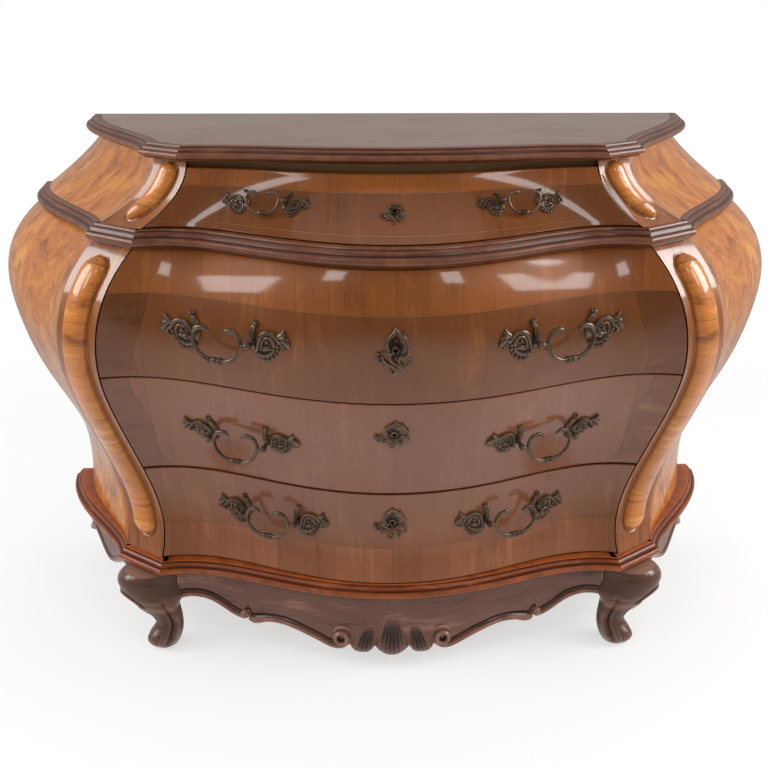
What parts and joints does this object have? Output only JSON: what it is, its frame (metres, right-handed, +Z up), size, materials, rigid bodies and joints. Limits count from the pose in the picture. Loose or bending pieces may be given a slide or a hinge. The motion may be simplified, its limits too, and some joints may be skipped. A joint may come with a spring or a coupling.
{
  "type": "bombe chest",
  "caption": "Free-standing bombe chest of drawers in walnut with a serpentine front, cabriole legs, hanging bail handles and locks.",
  "frame": {"origin": "on the floor, under the middle of the chest's width and depth", "axes": "+Z up, +X along the width to the right as seen from the front, the drawers open towards -Y"},
  "size_m": [1.4222, 0.6164, 0.86],
  "materials": {
    "walnut_top": "polished",
    "walnut_sides": "polished",
    "walnut_fronts": "polished",
    "walnut_mouldings": "polished",
    "walnut_carved": "polished",
    "inner_wood": "bare",
    "bronze": "dark patina",
    "lock_iron": "dark"
  },
  "bodies": {
    "carcass": {"top_panel": "walnut_top", "top_edge_moulding": "walnut_mouldings", "upper_side_panels": "walnut_sides", "upper_corner_posts": "walnut_sides", "upper_corner_bolsters": "walnut_sides", "waist_moulding": "walnut_mouldings", "side_panels": "walnut_sides", "corner_posts": "walnut_sides", "corner_bolsters": "walnut_sides", "base_moulding": "walnut_mouldings", "front_legs": "walnut_carved", "rear_legs": "walnut_carved", "front_apron": "walnut_carved", "side_aprons": "walnut_carved", "apron_carvings": "walnut_carved", "rear_posts": "inner_wood", "back_panel": "inner_wood", "top_rail": "inner_wood", "divider_upper": "inner_wood", "divider_middle": "inner_wood", "divider_lower": "inner_wood", "bottom_board": "inner_wood", "drawer_guides": "inner_wood"},
    "drawer_1": {"drawer_1_front": "walnut_fronts", "drawer_1_box": "inner_wood", "drawer_1_bottom": "inner_wood", "drawer_1_lock_case": "lock_iron", "drawer_1_escutcheon": "bronze", "drawer_1_handle_plates": "bronze"},
    "bail_1_left": {"drawer_1_bail_left": "bronze"},
    "bail_1_right": {"drawer_1_bail_right": "bronze"},
    "bolt_1": {"drawer_1_lock_bolt": "lock_iron"},
    "drawer_2": {"drawer_2_front": "walnut_fronts", "drawer_2_box": "inner_wood", "drawer_2_bottom": "inner_wood", "drawer_2_lock_case": "lock_iron", "drawer_2_escutcheon": "bronze", "drawer_2_handle_plates": "bronze"},
    "bail_2_left": {"drawer_2_bail_left": "bronze"},
    "bail_2_right": {"drawer_2_bail_right": "bronze"},
    "bolt_2": {"drawer_2_lock_bolt": "lock_iron"},
    "drawer_3": {"drawer_3_front": "walnut_fronts", "drawer_3_box": "inner_wood", "drawer_3_bottom": "inner_wood", "drawer_3_lock_case": "lock_iron", "drawer_3_escutcheon": "bronze", "drawer_3_handle_plates": "bronze"},
    "bail_3_left": {"drawer_3_bail_left": "bronze"},
    "bail_3_right": {"drawer_3_bail_right": "bronze"},
    "bolt_3": {"drawer_3_lock_bolt": "lock_iron"},
    "drawer_4": {"drawer_4_front": "walnut_fronts", "drawer_4_box": "inner_wood", "drawer_4_bottom": "inner_wood", "drawer_4_lock_case": "lock_iron", "drawer_4_escutcheon": "bronze", "drawer_4_handle_plates": "bronze"},
    "bail_4_left": {"drawer_4_bail_left": "bronze"},
    "bail_4_right": {"drawer_4_bail_right": "bronze"},
    "bolt_4": {"drawer_4_lock_bolt": "lock_iron"}
  },
  "joints": [
    {"name": "drawer_1_slide", "type": "slide", "parent": "carcass", "child": "drawer_1", "axis": [0, -1, 0], "range_m": [0, 0.26]},
    {"name": "bail_1_left_hinge", "type": "hinge", "parent": "drawer_1", "child": "bail_1_left", "pos_m": [-0.19018, -0.17678, 0.7858], "axis": [-0.9378, 0.3451, -0.0386], "range_deg": [0, 140]},
    {"name": "bail_1_right_hinge", "type": "hinge", "parent": "drawer_1", "child": "bail_1_right", "pos_m": [0.19018, -0.17678, 0.7858], "axis": [-0.9378, -0.3451, 0.0386], "range_deg": [0, 140]},
    {"name": "bolt_1_throw", "type": "slide", "parent": "drawer_1", "child": "bolt_1", "axis": [0, 0, 1], "range_m": [0, 0.008]},
    {"name": "drawer_2_slide", "type": "slide", "parent": "carcass", "child": "drawer_2", "axis": [0, -1, 0], "range_m": [0, 0.3]},
    {"name": "bail_2_left_hinge", "type": "hinge", "parent": "drawer_2", "child": "bail_2_left", "pos_m": [-0.25843, -0.23724, 0.59113], "axis": [-0.8805, 0.4739, 0.009], "range_deg": [-35, 150]},
    {"name": "bail_2_right_hinge", "type": "hinge", "parent": "drawer_2", "child": "bail_2_right", "pos_m": [0.25843, -0.23724, 0.59113], "axis": [-0.8805, -0.4739, -0.009], "range_deg": [-35, 150]},
    {"name": "bolt_2_throw", "type": "slide", "parent": "drawer_2", "child": "bolt_2", "axis": [0, 0, 1], "range_m": [0, 0.008]},
    {"name": "drawer_3_slide", "type": "slide", "parent": "carcass", "child": "drawer_3", "axis": [0, -1, 0], "range_m": [0, 0.3]},
    {"name": "bail_3_left_hinge", "type": "hinge", "parent": "drawer_3", "child": "bail_3_left", "pos_m": [-0.24519, -0.17558, 0.40409], "axis": [-0.896, 0.4441, 0.0006], "range_deg": [-50, 150]},
    {"name": "bail_3_right_hinge", "type": "hinge", "parent": "drawer_3", "child": "bail_3_right", "pos_m": [0.24519, -0.17558, 0.40409], "axis": [-0.896, -0.4441, -0.0006], "range_deg": [-50, 150]},
    {"name": "bolt_3_throw", "type": "slide", "parent": "drawer_3", "child": "bolt_3", "axis": [0, 0, 1], "range_m": [0, 0.008]},
    {"name": "drawer_4_slide", "type": "slide", "parent": "carcass", "child": "drawer_4", "axis": [0, -1, 0], "range_m": [0, 0.26]},
    {"name": "bail_4_left_hinge", "type": "hinge", "parent": "drawer_4", "child": "bail_4_left", "pos_m": [-0.20484, -0.12648, 0.24949], "axis": [-0.8983, 0.4394, 0.0009], "range_deg": [-30, 150]},
    {"name": "bail_4_right_hinge", "type": "hinge", "parent": "drawer_4", "child": "bail_4_right", "pos_m": [0.20484, -0.12648, 0.24949], "axis": [-0.8983, -0.4394, -0.0009], "range_deg": [-30, 150]},
    {"name": "bolt_4_throw", "type": "slide", "parent": "drawer_4", "child": "bolt_4", "axis": [0, 0, 1], "range_m": [0, 0.008]}
  ]
}
